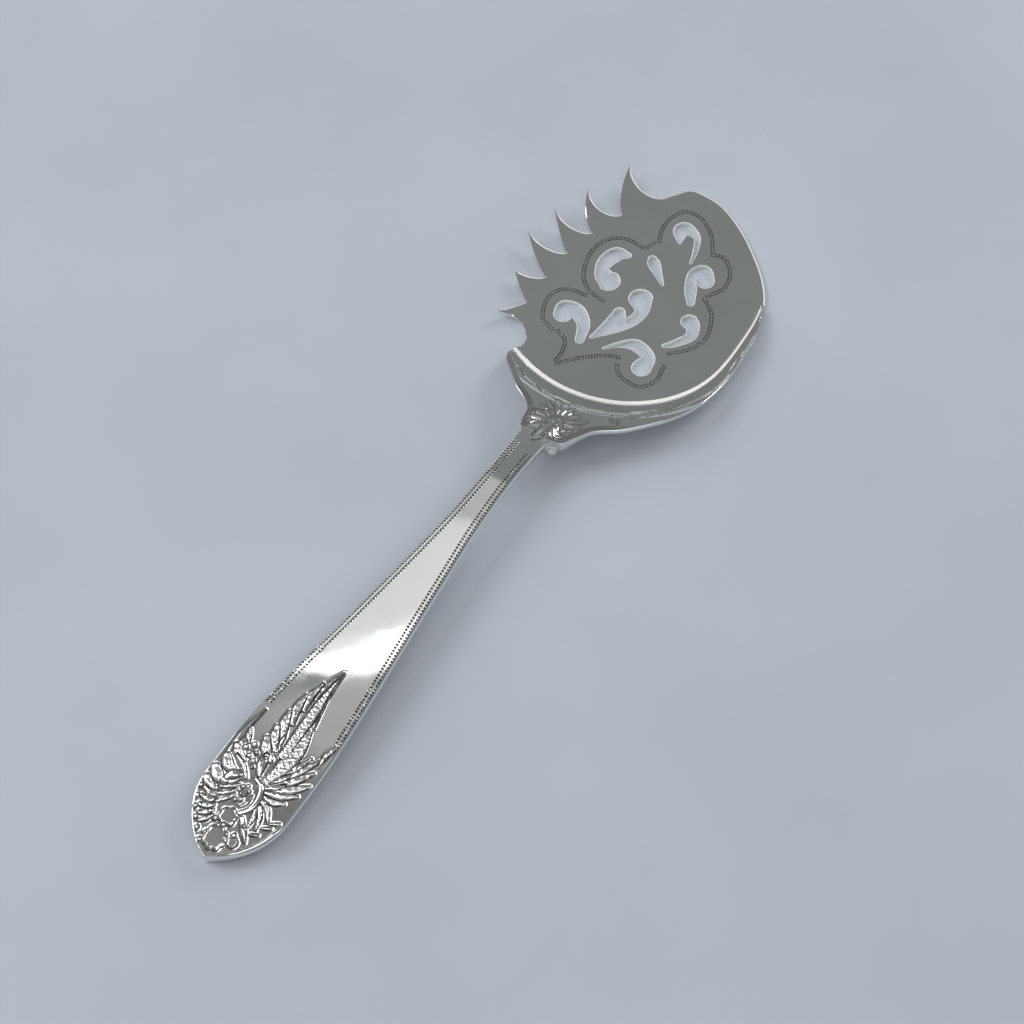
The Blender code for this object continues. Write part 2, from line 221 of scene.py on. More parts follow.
def edge_rounds(loop, into, full, joined):
    """Rounding radius at each point: at most half the room in narrow metal and none along a joint."""
    unit = into / np.linalg.norm(into, axis=1)[:, None]
    off = loop[None] - loop[:, None]
    facing = np.maximum(np.sum(off * unit[:, None], axis=2), 1e-6)
    room = np.min(np.sum(off * off, axis=2) / (2 * facing) + 1e6 * np.eye(len(loop)), axis=1)
    room[corner_turns(loop) > CORNER_TURN] = 0
    radius = np.minimum(np.where(joined, JOINT_ROUND, full), 0.5 * room)
    return np.maximum(radius, JOINT_ROUND)


def inside(points, loops):
    """Which points lie on the metal between the loops."""
    x, y = points.T
    odd = np.zeros(len(points), bool)
    for loop in loops:
        for (x0, y0), (x1, y1) in zip(loop, np.roll(loop, -1, axis=0)):
            if y0 != y1:
                crosses = (y0 > y) != (y1 > y)
                odd ^= crosses & (x < x0 + (y - y0) * (x1 - x0) / (y1 - y0))
    return odd


def gaps(points, others):
    """Distance from each point to the nearest of the others."""
    tree = KDTree(len(others))
    for i, p in enumerate(others):
        tree.insert((*p, 0), i)
    tree.balance()
    return np.array([tree.find((*p, 0))[2] for p in points])


def hex_points(loops, pitch, keep_off):
    """Points of a hexagonal grid on the metal, clear of the rims and of other points."""
    rims = np.vstack(loops)
    low = rims.min(axis=0)
    high = rims.max(axis=0)
    rows = []
    for i, y in enumerate(np.arange(low[1], high[1], pitch * math.sqrt(0.75))):
        x = np.arange(low[0] + pitch / 2 * (i % 2), high[0], pitch)
        rows.append(np.column_stack((x, np.full(len(x), y))))
    grid = np.vstack(rows)
    grid = grid[inside(grid, loops)]
    grid = grid[gaps(grid, rims) > RIM_CLEARANCE_SHARE * pitch]
    if len(keep_off):
        grid = grid[gaps(grid, keep_off) > MARK_CLEARANCE]
    return grid


def new_object(name, data):
    """A new object in the scene."""
    made = bpy.data.objects.new(name, data)
    bpy.context.collection.objects.link(made)
    return made


class Body:
    """Vertices and faces of one piece, gathered on the plan."""

    def __init__(self):
        self.verts = []
        self.recess = []
        self.edge = []
        self.faces = []
        self.count = 0

    def add(self, points, recess=0.0, edge=0.0):
        """Numbers of the new vertices, which carry a dark recess share and a matte edge share."""
        start = self.count
        self.verts.append(np.asarray(points, dtype=float))
        self.recess.append(np.broadcast_to(recess, len(points)))
        self.edge.append(np.broadcast_to(edge, len(points)))
        self.count += len(points)
        return np.arange(start, self.count)

    def band(self, lower, upper):
        """Quads between two closed rings of equal count."""
        for i in range(len(lower)):
            j = (i + 1) % len(lower)
            self.faces.append((lower[i], lower[j], upper[j], upper[i]))

    def tube(self, rings):
        """Bands between rings of equal count, and a cap at each end."""
        for lower, upper in zip(rings, rings[1:]):
            self.band(lower, upper)
        self.faces.append(tuple(rings[0][::-1]))
        self.faces.append(tuple(rings[-1]))

    def piece(self, name, nodes, slot, material):
        """The finished object, riding the one body and standing for the CAD nodes."""
        points = np.vstack(self.verts)
        points[:, :2] += PLAN_SHIFT
        mesh = bpy.data.meshes.new(name)
        mesh.from_pydata((points * MM).tolist(), [], [tuple(int(i) for i in face) for face in self.faces])
        for label, values in (("recess", self.recess), ("edge", self.edge)):
            layer = mesh.attributes.new(label, "FLOAT", "POINT")
            layer.data.foreach_set("value", np.concatenate(values).astype(np.float32))
        mesh.shade_smooth()
        mesh.set_sharp_from_angle(angle=SHARP_ANGLE)
        mesh.materials.append(material)
        made = new_object(name, mesh)
        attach(made, "root")
        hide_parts(*nodes)


def fill(body, rims, height, pitch, marks, upward):
    """Triangles over the metal between rims, each a ring and its numbers, with a grid and punched marks."""
    rings = [ring for ring, _ in rims]
    known = np.concatenate([ids for _, ids in rims])
    mark_points, mark_edges, mark_depths = marks
    grid = hex_points(rings, pitch, mark_points)
    points = np.vstack(rings + [grid] + ([mark_points] if len(mark_points) else []))
    depths = np.zeros(len(points))
    first_mark = len(points) - len(mark_points)
    depths[first_mark:] = mark_depths
    edges = []
    start = 0
    for ring in rings:
        count = len(ring)
        edges += [(start + i, start + (i + 1) % count) for i in range(count)]
        start += count
    edges += [(first_mark + a, first_mark + b) for a, b in mark_edges]
    verts, _, faces, origins, _, _ = delaunay_2d_cdt([tuple(p) for p in points], edges, [], 0, 1e-6)
    flat = np.array([tuple(v) for v in verts])
    source = np.array([o[0] if o else -1 for o in origins])
    fresh = (source < 0) | (source >= len(known))
    drop = np.where(source >= 0, depths[np.maximum(source, 0)], 0)
    z, recess, matte = height(flat)
    ids = np.empty(len(flat), int)
    ids[fresh] = body.add(np.column_stack((flat[fresh], (z - drop)[fresh])),
                          np.maximum(recess, drop / TICK_DEPTH)[fresh], matte[fresh])
    ids[~fresh] = known[source[~fresh]]
    tris = np.array(faces)
    tris = tris[inside(flat[tris].mean(axis=1), rings)]
    body.faces += [tuple(ids[t] if upward else ids[t[::-1]]) for t in tris]


NO_MARKS = (np.empty((0, 2)), [], np.empty(0))


def sheet(node, top, bottom, pitch, roundings, wear, joined, marks=NO_MARKS):
    """Sheet metal over the CAD node's plan, with rounded rims and a marked upper face."""
    body = Body()
    loops = fine_rims(node)
    outer = max(len(loop) for loop in loops)
    upper_rims = []
    lower_rims = []
    for loop in loops:
        into = inward(loop)
        pierced = len(loop) < outer
        radius = edge_rounds(loop, into, roundings[pierced], joined(loop))
        matte = np.ones(len(loop)) if pierced else wear(into)
        levels = []
        below = loop + into * (UNDERSIDE_ROUND * radius)[:, None]
        levels.append((below, bottom(below)[0], 0.0))
        levels.append((loop, bottom(loop)[0] + UNDERSIDE_ROUND * radius, matte))
        for turn in np.radians(ROUND_TURNS):
            at = loop + into * (radius * (1 - math.cos(turn)))[:, None]
            levels.append((at, top(at)[0] - radius * (1 - math.sin(turn)), matte))
        land = loop + into * (RIM_LAND * radius)[:, None]
        levels.append((land, top(land)[0], 0.0))
        ids = [body.add(np.column_stack((at, z)), 0.0, edge) for at, z, edge in levels]
        for lower, upper in zip(ids, ids[1:]):
            body.band(lower, upper)
        lower_rims.append((below, ids[0]))
        upper_rims.append((land, ids[-1]))
    fill(body, upper_rims, top, pitch, marks, True)
    fill(body, lower_rims, bottom, UNDERSIDE_PITCH, NO_MARKS, False)
    return body


# Surfaces of plate and wall

def tooth_lift(points):
    """Height by which the teeth sweep up beyond the bowed line of their roots."""
    x, y = points.T
    root_y = ROOT_CREST[1] - ROOT_BOW * (x - ROOT_CREST[0]) ** 2
    return TOOTH_LIFT * (np.maximum(0, y - root_y) / TOOTH_REACH) ** TOOTH_CURL


def plate_wear(into):
    """Matte share of the plate's outer edge, more on the sides that face away from the handle."""
    return np.clip(WEAR_ALL_ROUND - into[:, 0], 0, 1)


def wall_wear(into):
    """Matte share of the wall's outer edge, filed alike all round."""
    return np.full(len(into), WALL_RIM_MATTE)


def plain(height):
    """A face of the given heights with no recess and no matte."""
    return height, np.zeros(len(height)), np.zeros(len(height))


def plate_top(points):
    """Upper face of the plate."""
    return plain(PLATE_THICKNESS + tooth_lift(points))


def plate_bottom(points):
    """Underside of the plate."""
    return plain(tooth_lift(points))


def crease_radius(degrees):
    """Radius of the crease round the plate's centre, eased inwards opposite the teeth."""
    return CREASE_RADIUS - CREASE_EASE * np.exp(-((degrees - CREASE_EASE_ANGLE) / CREASE_EASE_SPREAD) ** 2)


def beyond_crease(points):
    """Distance outwards from the crease."""
    x, y = points.T
    return np.hypot(x, y) - crease_radius(np.degrees(np.arctan2(y, x)) % 360)


def plate_joint(points):
    """Which rim points of the plate lie along the crease."""
    degrees = np.degrees(np.arctan2(points[:, 1], points[:, 0])) % 360
    first, last = CREASE_ENDS
    along = (degrees > first - JOINT_REACH_DEGREES) & (degrees < last + JOINT_REACH_DEGREES)
    return along & (np.abs(beyond_crease(points) + SEAM_HALF_SLOT) < JOINT_REACH)


def wall_joint(points):
    """Which rim points of the wall lie along the crease or at the stem."""
    off_axis = np.abs(points[:, 1] - NECK_SEAM_MIDDLE[1])
    at_stem = (points[:, 0] < NECK_X + JOINT_REACH) & (off_axis < NECK_HALF_WIDTHS[1])
    return at_stem | (beyond_crease(points) < SEAM_HALF_SLOT + JOINT_REACH)


def wall_height(run):
    """Height of the wall's upper face at a distance from the crease."""
    return PLATE_THICKNESS + WALL_RISE * np.sin(math.pi / 2 * np.clip(run / WALL_RUN, 0, 1))


def wall_bottom(points):
    """Underside of the wall, thicker towards its rim and most at the neck."""
    run = beyond_crease(points)
    thick = PLATE_THICKNESS + RIM_THICKENING * np.clip(run / RIM_RUN, 0, 1)
    t = np.clip((run - WALL_RUN) / NECK_THICKENING_RUN, 0, 1)
    return plain(wall_height(run) - thick - NECK_THICKENING * t * t * (3 - 2 * t))


def cartouche_ticks(rims):
    """Two rows of punched squares along the cartouche: points, edges and depths."""
    centres = []
    points = []
    edges = []
    depths = []
    for run in CARTOUCHE:
        line, way = smooth_path(run, TICK_PITCH)
        for p, along in zip(line, way):
            side = np.array((-along[1], along[0]))
            for row in (-TICK_ROW, TICK_ROW):
                at = p + side * row
                crowded = centres and np.min(np.linalg.norm(np.array(centres) - at, axis=1)) < TICK_SPACING
                if crowded or np.min(np.linalg.norm(rims - at, axis=1)) < TICK_RIM_CLEARANCE:
                    continue
                centres.append(at)
                for size, depth in ((TICK_MOUTH, 0), (TICK_FLOOR, TICK_DEPTH)):
                    k = len(points)
                    points += [at + size * (a * along + b * side) for a, b in CORNERS]
                    edges += [(k, k + 1), (k + 1, k + 2), (k + 2, k + 3), (k + 3, k)]
                    depths += [depth] * 4
    return np.array(points), edges, np.array(depths)


def make_plate(material):
    """The plate with its teeth, piercings and punched cartouche."""
    ticks = cartouche_ticks(np.vstack(fine_rims("blade")))
    body = sheet("blade", plate_top, plate_bottom, PLATE_PITCH, PLATE_ROUNDS, plate_wear, plate_joint, ticks)
    body.piece("blade_pierced", ("blade",), "polished_silver", material)


# Chased ornament
PETAL_PLACES = np.array((0.0, 0.6, 1.0))
SPINE_STEP = 0.12
ORNAMENT_MARGIN = 0.5
OUTLINE = 0.17
HATCH_PITCH = 0.75
HATCH_SLANT = 0.8
UNEVEN = 0.16
# The lobed flowers are darkened in colour over their whole tops.
FLOWER_DARKENING = 0.42


def uneven(points):
    """A smooth hand-made irregularity between -1 and 1."""
    x, y = points.T
    return 0.5 * (np.sin(5.3 * x + 2.1 * y + np.sin(3.1 * y)) + np.sin(4.4 * y - 2.7 * x + np.sin(2.3 * x)))


def petal(points, spine, widths, frost=0.0, hatch=0.0):
    """A petal on a curved spine, with half-widths at base, belly and end, and matte towards its end."""
    line, _ = smooth_path(spine, SPINE_STEP)
    reach = max(widths) + ORNAMENT_MARGIN
    around = (points > line.min(axis=0) - reach) & (points < line.max(axis=0) + reach)
    near = np.flatnonzero(np.all(around, axis=1))
    off = points[near][:, None] - line[None]
    k = np.argmin(np.sum(off * off, axis=2), axis=1)
    distance = np.linalg.norm(off[np.arange(len(near)), k], axis=1)
    along = k / (len(line) - 1)
    width = smooth_graph(PETAL_PLACES, np.array(widths), along)
    share = distance / width
    slanted = SPINE_STEP * k - HATCH_SLANT * distance
    lines = np.cos(2 * math.pi * slanted / HATCH_PITCH + 0.5 * uneven(points[near]))
    arch = 0.4 + 0.6 * np.sin(math.pi * np.minimum(along, 0.95) ** 0.8)
    rise = arch * (1 - share ** 3) * np.minimum(1, 1.1 * width) + hatch * lines
    matte = frost * np.clip(4 * along - 0.8, float(hatch > 0), 1)
    return near, share, rise, np.exp(-((distance - width) / OUTLINE) ** 2), matte


def boss(points, x, y, radius, lobes=0):
    """A matte bead, or a flat dark flower where it has lobes."""
    off = points - np.array((x, y))
    distance = np.linalg.norm(off, axis=1)
    near = np.flatnonzero(distance < radius + ORNAMENT_MARGIN)
    distance = distance[near]
    edge = radius * (0.86 + 0.14 * np.abs(np.cos(lobes / 2 * np.arctan2(off[near, 1], off[near, 0]))))
    share = distance / edge
    rise = 0.5 * np.clip(4 * (1 - share), 0, 1) if lobes else radius * (1 - share ** 2)
    outline = np.exp(-((distance - edge) / OUTLINE) ** 2)
    if lobes:
        return near, share, rise, np.maximum(outline, FLOWER_DARKENING * (share < 1)), np.zeros(len(near))
    return near, share, rise, outline, np.ones(len(near))


def cut(points, spine, half_width):
    """A dark crescent cut into the ground."""
    line, _ = smooth_path(spine, SPINE_STEP)
    distance = gaps(points, line)
    near = np.flatnonzero(distance < 3 * half_width)
    nothing = np.zeros(len(near))
    return near, nothing + 2, nothing, np.exp(-(distance[near] / half_width) ** 2), nothing


def shapes(kind, sizes):
    """Ornament of one kind: a shape for each row of sizes."""
    return [(kind, *row) for row in sizes]


def chasing(points, ornament):
    """Height, groove and matte share of shapes that overlie each other in turn."""
    height = np.zeros(len(points))
    groove = np.zeros(len(points))
    matte = np.zeros(len(points))
    for shape, *sizes in ornament:
        near, share, rise, outline, frost = shape(points, *sizes)
        within = share < 1
        worked = rise + UNEVEN * uneven(points[near]) * np.clip(3 - 3 * share, 0, 1) * (frost > 0)
        height[near] = np.where(within, worked, height[near])
        groove[near] = np.where(within, outline, np.maximum(groove[near], outline))
        matte[near] = np.where(within, frost, matte[near]) * (1 - outline)
    return height, groove, matte


# Shoulder: a palmette, sprays along the wall, and a few deep strokes.
PALMETTE_PETALS = (
    (((-36.3, -4.8), (-36.6, -3.3), (-37.0, -2.1)), (0.35, 0.5, 0.4)),
    (((-35.7, -4.6), (-35.6, -3.2), (-35.3, -2.0)), (0.35, 0.5, 0.4)),
    (((-35.0, -4.8), (-34.5, -3.5), (-33.8, -2.3)), (0.35, 0.5, 0.4)),
    (((-34.5, -5.1), (-33.4, -4.0), (-32.2, -2.7)), (0.35, 0.55, 0.45)),
    (((-34.1, -5.6), (-32.5, -4.9), (-31.0, -3.9)), (0.35, 0.55, 0.45)),
    (((-33.9, -6.3), (-32.2, -6.1), (-30.6, -5.6)), (0.4, 0.6, 0.5)),
    (((-34.0, -7.0), (-32.6, -7.3), (-31.1, -7.3)), (0.35, 0.55, 0.45)),
    (((-34.3, -7.6), (-33.4, -8.4), (-32.2, -9.2)), (0.35, 0.5, 0.45), 0.25),
    (((-34.6, -8.1), (-33.9, -9.5), (-32.6, -11.2)), (0.35, 0.5, 0.35)),
    (((-35.2, -8.1), (-35.0, -9.3), (-34.3, -10.8)), (0.35, 0.5, 0.4)),
    (((-35.9, -7.9), (-36.3, -8.9), (-35.8, -10.0)), (0.35, 0.45, 0.35)),
    (((-36.6, -7.3), (-37.4, -8.3), (-37.0, -9.2)), (0.35, 0.5, 0.4)),
    (((-36.8, -5.4), (-38.0, -4.2), (-38.6, -2.9)), (0.4, 0.6, 0.5)),
    (((-36.8, -6.6), (-38.0, -7.2), (-38.7, -7.9)), (0.4, 0.55, 0.4)),
    (((-36.4, -6.0), (-38.6, -5.4), (-41.2, -5.0)), (0.6, 0.6, 0.15)),
)
PALMETTE_BOSSES = (
    (-35.3, -6.2, 0.8, 5), (-38.0, -3.0, 0.42), (-36.7, -8.7, 0.42),
)
SPRAYS = (
    (((-29.9, -14.9), (-29.1, -14.3), (-28.2, -13.9)), (0.2, 0.3, 0.2), 0.6),
    (((-29.8, -16.0), (-29.0, -15.6), (-28.3, -15.3)), (0.2, 0.25, 0.2), 0.8),
    (((-27.9, -16.3), (-26.8, -16.5), (-25.8, -16.9)), (0.2, 0.3, 0.2), 0.8),
    (((-27.4, -17.2), (-26.3, -17.4), (-25.3, -17.9)), (0.2, 0.3, 0.2), 0.8),
    (((-25.2, -18.0), (-23.9, -18.3), (-22.4, -18.9)), (0.2, 0.35, 0.2), 0.7),
    (((-24.6, -19.1), (-23.2, -19.5), (-21.8, -20.0)), (0.2, 0.35, 0.2), 0.7),
    (((-22.6, -20.6), (-21.4, -20.6), (-20.2, -20.7)), (0.2, 0.3, 0.2), 0.6),
    (((-20.4, -21.6), (-19.2, -21.6), (-18.0, -21.7)), (0.15, 0.25, 0.15), 0.4),
    (((-17.5, -22.3), (-16.4, -22.5), (-15.2, -22.7)), (0.2, 0.25, 0.2), 0.8),
)
PALMETTE = shapes(petal, PALMETTE_PETALS) + shapes(boss, PALMETTE_BOSSES) + shapes(petal, SPRAYS)
PALMETTE_HEIGHT = 0.11
PALMETTE_GROOVE = 0.06
PALMETTE_TARNISH = 0.5
STROKES = (
    ((-30.5, -2.9), (-30.2, -3.9), (-30.6, -4.8)),
    ((-31.7, -2.4), (-32.2, -3.2), (-32.8, -4.1)),
    ((-35.4, -1.9), (-34.6, -3.0), (-33.6, -4.3)),
    ((-38.6, -2.5), (-38.0, -3.4), (-37.3, -3.1), (-37.5, -2.4)),
    ((-29.3, 1.8), (-29.7, 0.9), (-30.3, 0.2)),
    ((-27.2, 7.0), (-27.9, 6.0), (-28.9, 5.0)),
    ((-38.5, -8.4), (-37.9, -8.0), (-37.3, -7.6)),
    ((-32.6, -8.3), (-32.0, -8.0), (-31.4, -7.4)),
    ((-37.2, -9.5), (-37.3, -8.5), (-36.6, -7.8), (-35.9, -8.3), (-36.2, -9.3)),
    ((-38.8, -6.4), (-40.2, -6.2), (-41.4, -5.0)),
    ((-39.0, -4.6), (-40.2, -4.5), (-41.4, -5.0)),
)
GROOVE_RUN_OUT = 1.2
STROKE_STEP = 0.08
STROKE_HALF_WIDTH = 0.22
STROKE_DEPTH = 0.08
STROKE_TARNISH = 0.8
THREADS = (0.5, 1.0)
THREAD_HALF_WIDTH = 0.17
THREAD_DEPTH = 0.06
THREAD_TARNISH = 0.85
THREAD_FROM_CREASE = 1.6
THREAD_END_X = -28
THREAD_FADE = 4


def engraved(points):
    """Depth share of the engraved strokes at each plan point."""
    line = np.vstack([smooth_path(stroke, STROKE_STEP)[0] for stroke in STROKES])
    return np.clip(GROOVE_RUN_OUT - gaps(points, line) / STROKE_HALF_WIDTH, 0, 1)


def shoulder_relief(points, outer_rim):
    """Palmette and strokes on the shoulder, and thread lines along its outer edge."""
    height, groove, matte = chasing(points, PALMETTE)
    strokes = engraved(points)
    relief = PALMETTE_HEIGHT * height - PALMETTE_GROOVE * groove - STROKE_DEPTH * strokes
    recess = np.maximum(PALMETTE_TARNISH * groove, STROKE_TARNISH * strokes)
    x, y = points.T
    from_edge = gaps(points, outer_rim)
    beyond_start = beyond_crease(points) - THREAD_FROM_CREASE
    reach = np.where(y > NECK_SEAM_MIDDLE[1], beyond_start, (THREAD_END_X - x) / THREAD_FADE)
    for offset in THREADS:
        off = np.abs(from_edge - offset) / THREAD_HALF_WIDTH
        thread = np.clip(reach, 0, 1) * np.clip(GROOVE_RUN_OUT - off, 0, 1)
        relief -= THREAD_DEPTH * thread
        recess = np.maximum(recess, THREAD_TARNISH * thread)
    return relief, recess, matte


def make_wall(material):
    """The raised wall with its chased shoulder."""
    rim = np.vstack(fine_rims("raised_wall"))
    outer_rim = rim[~wall_joint(rim)]

    def top(points):
        relief, recess, matte = shoulder_relief(points, outer_rim)
        return wall_height(beyond_crease(points)) + relief, recess, matte

    body = sheet("raised_wall", top, wall_bottom, WALL_PITCH, WALL_ROUNDS, wall_wear, wall_joint)
    body.piece("wall_chased", ("raised_wall",), "polished_silver", material)


# Handle: its section follows the CAD's rings.
RING_SPREAD = 0.05
RING_POINTS = 10
DOT_PITCH = 0.65
ROW_STEP = DOT_PITCH / 6
BORDER = 2.0
BORDER_COLUMNS = 21
NARROW_HALF_WIDTH = 2.7
FIELD_COLUMNS = 130
PLAIN_COLUMNS = 10
FOLIAGE_END = 42.0
FOLIAGE_STEP = 0.09
ENGRAVED_STEM = 95.5
DOT_ROWS = (1.36, 0.6)
DOT_RADIUS = 0.2
DOT_DEPTH = 0.22
DOT_STEEPNESS = 1.4
DOTS_RIGHT = (27.8, 93.5)
DOTS_LEFT = (28.4, 95.0)
SHOULDER_BEVEL = 0.4
SHOULDER_DROP = 0.5
RIM_LINE_END = 11.0
RIM_LINE_AT = 0.62
RIM_LINE_HALF_WIDTH = 0.32
RIM_LINE_HEIGHT = 0.16
RIM_LINE_FADE = 2
# A dark line in colour only, at the inner foot of the rim line; no groove is cut there.
RIM_DARK_LINE_AT = RIM_LINE_AT + 0.45
RIM_DARK_LINE_HALF_WIDTH = 0.12
FOLIAGE_MARGIN = 0.35
FOLIAGE_FADE = 0.3
LEAF_HEIGHT = 0.46
LEAF_GROOVE = 0.13
# Groove darkening in the foliage: partly tarnish, partly painted shade along the petals' edges and crevices.
GROOVE_TARNISH_AND_SHADE = 1.3
GROOVE_DARK_THRESHOLD = 0.2
# Ground darkening round the foliage near the tip: partly tarnish, partly painted shade between the raised
# shapes.
GROUND_TARNISH_AND_SHADE = 0.36
GROUND_FALL = 6
GROUND_END = (20.0, 27.0)
BACK_SECTION = ((1.0, 0.0), (0.985, 0.35), (0.87, 0.72), (0.6, 0.93), (0.2, 1.0))
BACK_STEP = 0.16
# Foliage, from the back to the front: edge leaves, fan, main leaf, petals, scroll, flowers and beads.
LEAVES = (
    (((15.5, 7.5), (19.0, 7.5), (23.0, 7.4), (26.8, 6.8)), (0.3, 0.5, 0.1)),
    (((20.3, 5.6), (21.2, 6.3), (22.3, 6.8)), (0.3, 0.5, 0.3), 0.9),
    (((13.6, -2.4), (13.5, -4.2), (14.4, -6.2)), (0.35, 0.6, 0.3), 0.9),
    (((14.3, -2.2), (15.0, -4.6), (16.7, -7.3)), (0.35, 0.7, 0.3), 0.9),
    (((15.0, -2.2), (16.6, -5.2), (19.3, -8.0)), (0.35, 0.75, 0.3), 0.9),
    (((15.8, -2.2), (18.4, -5.0), (21.6, -7.1)), (0.4, 0.75, 0.3), 0.8),
    (((16.6, -2.3), (20.0, -4.7), (24.0, -6.6)), (0.4, 0.65, 0.25), 0.8),
    (((17.4, -2.4), (20.4, -4.0), (23.6, -5.2)), (0.35, 0.6, 0.2), 0.5),
    (((15.0, -2.0), (15.8, -3.2), (17.0, -4.3)), (0.3, 0.5, 0.35), 0.8),
    (((16.2, -1.9), (17.4, -3.0), (19.0, -4.0)), (0.3, 0.5, 0.35), 0.8),
    (((23.0, -7.1), (25.2, -7.0), (27.4, -7.5)), (0.15, 0.45, 0.3), 0.9),
    (((16.0, -1.2), (19.5, -2.1), (23.5, -2.1), (28.5, -1.6)), (0.7, 1.6, 0.5), 0.65, 0.1),
    (((21.5, -0.9), (27.0, -0.7), (33.0, -0.4), (39.8, -0.4)), (0.9, 0.85, 0.12), 0.65, 0.1),
    (((28.2, -2.4), (31.0, -1.7), (35.0, -0.8), (39.6, -0.45)), (0.12, 0.16, 0.12), 1.0),
    (((33.0, 0.8), (36.2, 0.7), (39.7, -0.2)), (0.3, 0.4, 0.12), 0.5),
    (((30.3, 1.3), (33.0, 1.8), (36.2, 1.5)), (0.45, 0.6, 0.2), 0.6),
    (((27.2, 1.5), (29.8, 2.4), (32.8, 2.6)), (0.55, 0.75, 0.3), 0.9),
    (((24.2, 1.3), (26.0, 2.4), (28.6, 3.1)), (0.6, 0.85, 0.4), 0.9),
    (((21.6, 0.9), (23.0, 2.2), (25.2, 3.2)), (0.6, 0.85, 0.5), 0.9),
    (((19.6, 0.6), (20.8, 2.3), (22.5, 3.4)), (0.55, 0.9, 0.6), 0.9),
    (((16.4, 0.5), (18.0, 1.2), (19.9, 1.5)), (0.4, 0.85, 0.5)),
    (((22.0, 0.4), (23.2, 0.9), (24.6, 1.1)), (0.25, 0.35, 0.2), 0.8),
    (((17.2, 4.4), (17.7, 5.8), (18.7, 6.9)), (0.5, 0.9, 0.6), 1.0),
    (((14.7, 4.6), (15.0, 6.0), (16.2, 7.1)), (0.6, 1.05, 0.75), 1.0),
    (((12.3, 4.7), (12.5, 6.3), (13.5, 7.5)), (0.6, 1.1, 0.85), 1.0),
    (((10.9, 4.6), (10.5, 6.5), (11.3, 7.9)), (0.45, 0.8, 0.7), 1.0),
    (((9.6, 4.2), (9.3, 5.7), (9.7, 7.0)), (0.3, 0.5, 0.35), 0.3),
    (((8.8, 4.0), (8.2, 5.3), (8.2, 6.6)), (0.3, 0.5, 0.35), 0.3),
    (((8.0, 3.8), (7.1, 4.9), (6.8, 6.0)), (0.3, 0.5, 0.35), 0.3),
    (((7.2, 3.4), (6.1, 4.3), (5.6, 5.2)), (0.3, 0.48, 0.35), 0.5),
    (((6.4, 3.0), (5.3, 3.6), (4.5, 4.4)), (0.3, 0.45, 0.3), 0.5),
    (((11.4, 1.9), (10.0, 2.7), (8.7, 3.9)), (0.25, 0.38, 0.25), 0.6),
    (((12.3, 2.1), (11.0, 3.1), (9.8, 4.6)), (0.25, 0.38, 0.25), 0.6),
    (((13.2, 2.3), (12.0, 3.5), (11.0, 5.0)), (0.25, 0.38, 0.25), 0.4),
    (((13.1, 4.9), (14.2, 4.2), (14.9, 3.0)), (0.5, 0.8, 0.3)),
)
CREVICES = (
    (((11.8, 5.5), (12.3, 4.1), (13.2, 3.1), (14.5, 2.4)), 0.32),
)
FRONT_LEAVES = (
    (((14.8, 2.1), (16.2, 3.6), (17.2, 5.8)), (0.3, 0.4, 0.3), 1.0),
    (((11.8, -2.4), (10.0, -3.2), (8.0, -3.4)), (0.4, 0.45, 0.2), 0.3),
    (((11.9, -2.9), (10.2, -4.2), (8.2, -4.9)), (0.4, 0.45, 0.2), 0.3),
    (((12.9, -2.4), (12.3, -4.0), (10.3, -5.9)), (0.5, 0.45, 0.25), 1.0),
    (((10.3, -6.4), (10.7, -7.1), (11.1, -7.7)), (0.2, 0.28, 0.2), 1.0),
    (((8.9, -5.6), (9.3, -6.3), (9.7, -7.0)), (0.2, 0.28, 0.2), 1.0),
    (((7.0, -4.6), (7.3, -5.2), (7.6, -5.8)), (0.2, 0.25, 0.18), 0.8),
    (((8.6, -1.6), (7.2, -3.0), (5.4, -4.6)), (0.35, 0.5, 0.2)),
    (((9.0, -0.7), (10.6, -1.9), (13.0, -2.0), (14.9, -1.0), (15.5, 0.4)), (0.4, 0.55, 0.4)),
    (((10.1, -0.2), (11.2, -0.8), (12.7, -0.8)), (0.2, 0.25, 0.15), 0.8),
)
FLOWERS_AND_BEADS = (
    (4.3, -2.8, 1.05, 5), (7.5, 0.5, 1.75, 6), (3.4, 0.3, 2.3, 8), (12.3, 0.8, 0.7, 5),
    (10.6, 1.3, 0.42), (11.2, 0.5, 0.38), (13.2, 1.5, 0.4), (13.7, 0.8, 0.36),
    (13.0, 0.1, 0.36), (17.8, 2.9, 0.5), (18.3, 4.1, 0.42), (19.3, 5.5, 0.5),
    (20.4, 4.5, 0.5), (19.4, 3.3, 0.38), (16.9, 2.4, 0.34), (19.5, 1.4, 0.3),
    (20.9, 0.4, 0.3), (6.0, 0.3, 0.46), (6.2, 2.2, 0.44), (5.4, -2.3, 0.42),
    (7.6, -2.8, 0.36), (3.4, 2.3, 0.34), (1.9, 2.4, 0.42), (3.3, 4.0, 0.46),
    (4.7, 5.3, 0.44), (6.1, 6.5, 0.46), (7.8, 7.3, 0.48), (9.6, 7.8, 0.44),
)
FOLIAGE = (shapes(petal, LEAVES) + shapes(cut, CREVICES) + shapes(petal, FRONT_LEAVES)
           + shapes(boss, FLOWERS_AND_BEADS))


